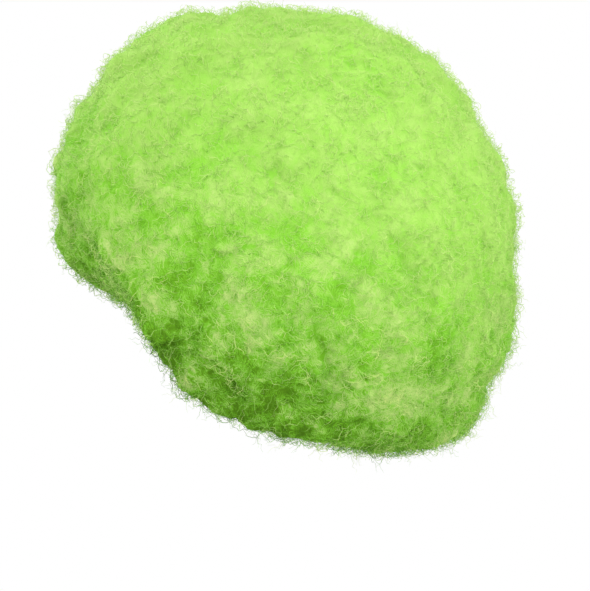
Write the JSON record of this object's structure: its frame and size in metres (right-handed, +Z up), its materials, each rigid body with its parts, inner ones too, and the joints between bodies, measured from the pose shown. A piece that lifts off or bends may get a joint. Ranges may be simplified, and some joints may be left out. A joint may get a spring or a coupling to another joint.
{
  "type": "afro wig",
  "caption": "Big round afro wig: a ball of frizzed bright green hair with an arch left open for the face, on a stretch-net cap with an elastic edge band.",
  "frame": {"origin": "crown of the wearer's head, on the inside of the cap's top, where the wig sits on the head", "axes": "+Z up, the face opening towards -Y, the wearer's left towards +X"},
  "size_m": [0.3722, 0.3945, 0.3789],
  "materials": {
    "hair_fibre": "frizzed synthetic fibre, matt with a soft sheen",
    "cap_net": "knitted stretch net, matt",
    "elastic_band": "ribbed woven elastic, matt"
  },
  "bodies": {
    "root": {"hair": "hair_fibre", "cap": "cap_net", "edge_band": "elastic_band"}
  },
  "joints": []
}
